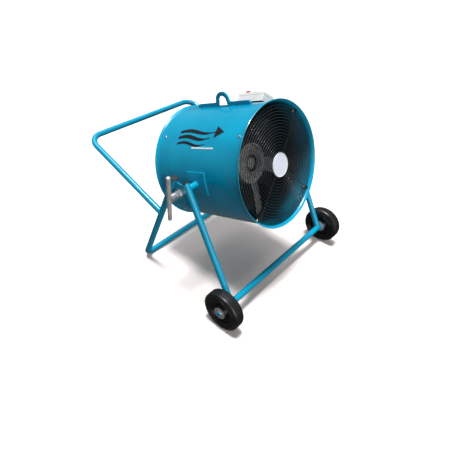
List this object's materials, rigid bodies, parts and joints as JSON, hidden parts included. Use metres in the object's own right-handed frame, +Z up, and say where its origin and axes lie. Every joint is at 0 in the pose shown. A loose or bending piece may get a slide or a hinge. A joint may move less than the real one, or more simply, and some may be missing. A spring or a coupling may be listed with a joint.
{
  "type": "portable drum fan",
  "caption": "Wheeled tube frame holding a tilting axial drum fan with wire guards, motor, control box, lifting eye and T-handle clamp.",
  "frame": {"origin": "on the floor, under the middle of the fan's overall box", "axes": "+X the way the air leaves, towards the wheels; +Y the left side; +Z up"},
  "size_m": [1.238, 1.032, 0.9992],
  "materials": {
    "blue_paint": "gloss turquoise blue enamel",
    "black_wire": "satin black powder coat",
    "zinc_steel": "bright zinc plate",
    "galvanised_steel": "dull galvanised",
    "bearing_steel": "machined steel",
    "motor_grey": "painted casting",
    "cast_aluminium": "satin cast aluminium",
    "tyre_rubber": "matt",
    "black_rim": "matt moulded",
    "black_plastic": "matt moulded",
    "dark_bracket": "satin dark paint",
    "grey_plastic": "fine-textured light grey",
    "seal_rubber": "matt",
    "white_plastic": "matt moulded",
    "badge_plastic": "gloss pale lavender white",
    "red_plastic": "gloss red"
  },
  "bodies": {
    "frame": {"front_leg_left": "blue_paint", "front_leg_right": "blue_paint", "axle_cross_tube": "blue_paint", "rear_leg_hoop": "blue_paint", "push_handle": "blue_paint", "gusset_plate_left": "blue_paint", "gusset_plate_right": "blue_paint", "leg_end_plugs": "black_plastic", "axle_stubs": "blue_paint", "axle_washers": "zinc_steel", "axle_circlips": "zinc_steel"},
    "wheel_left": {"tyre_left": "tyre_rubber", "wheel_rim_left": "black_rim", "wheel_hub_left": "zinc_steel"},
    "wheel_right": {"tyre_right": "tyre_rubber", "wheel_rim_right": "black_rim", "wheel_hub_right": "zinc_steel"},
    "impeller": {"impeller_hub": "cast_aluminium", "impeller_cover": "cast_aluminium", "impeller_blades": "cast_aluminium", "impeller_bolts": "zinc_steel", "motor_shaft": "bearing_steel", "shaft_end_bolt": "zinc_steel", "rotor_core": "bearing_steel"},
    "knob": {"switch_knob": "red_plastic"},
    "clamp_ring": {"clamp_washer": "zinc_steel"},
    "clamp": {"clamp_screw": "zinc_steel", "clamp_nut": "zinc_steel", "clamp_collar": "galvanised_steel", "clamp_t_bar": "galvanised_steel"},
    "drum": {"box_saddle": "dark_bracket", "control_box_base": "grey_plastic", "control_box_lid": "grey_plastic", "control_box_screws": "zinc_steel", "control_box_seal": "seal_rubber", "drum_shell": "blue_paint", "front_guard": "black_wire", "guard_badge": "badge_plastic", "guard_nuts": "zinc_steel", "guard_screws": "zinc_steel", "isolator_body": "black_plastic", "lead_conduit": "zinc_steel", "lifting_lug": "blue_paint", "motor_arms": "blue_paint", "motor_bearings": "bearing_steel", "motor_bell_front": "motor_grey", "motor_bell_rear": "motor_grey", "motor_bolts": "zinc_steel", "motor_housing": "motor_grey", "motor_terminal_box": "motor_grey", "pivot_bolt": "zinc_steel", "pivot_boss_left": "blue_paint", "pivot_boss_right": "blue_paint", "pivot_pads": "blue_paint", "pivot_washer": "zinc_steel", "rear_guard": "black_wire", "run_capacitor": "white_plastic", "stator_core": "bearing_steel", "supply_gland": "black_plastic", "terminal_block": "white_plastic"}
  },
  "joints": [
    {"name": "drum_tilt", "type": "hinge", "parent": "frame", "child": "drum", "pos_m": [0.155, 0, 0.606], "axis": [0, -1, 0], "range_deg": [-109, 70.9]},
    {"name": "wheel_left_spin", "type": "hinge", "parent": "frame", "child": "wheel_left", "pos_m": [0.511, 0.475, 0.108], "axis": [0, 1, 0], "continuous": true},
    {"name": "wheel_right_spin", "type": "hinge", "parent": "frame", "child": "wheel_right", "pos_m": [0.511, -0.475, 0.108], "axis": [0, 1, 0], "continuous": true},
    {"name": "impeller_spin", "type": "hinge", "parent": "drum", "child": "impeller", "pos_m": [0.23249, 0, 0.63283], "axis": [0.9449, 0, 0.3272], "continuous": true},
    {"name": "switch_turn", "type": "hinge", "parent": "drum", "child": "knob", "pos_m": [0.05847, 0.19142, 0.90615], "axis": [-0.268, 0.5736, 0.7741], "range_deg": [0, 90]},
    {"name": "clamp_travel", "type": "slide", "parent": "drum", "child": "clamp_ring", "axis": [0, -1, 0], "range_m": [0, 0.0019]},
    {"name": "clamp_turn", "type": "hinge", "parent": "clamp_ring", "child": "clamp", "pos_m": [0.155, -0.424, 0.606], "axis": [0, -1, 0], "range_deg": [0, 270]}
  ],
  "couplings": [
    {"joint": "clamp_travel", "follows": "clamp_turn", "m_per_rad": 0.00039789}
  ]
}
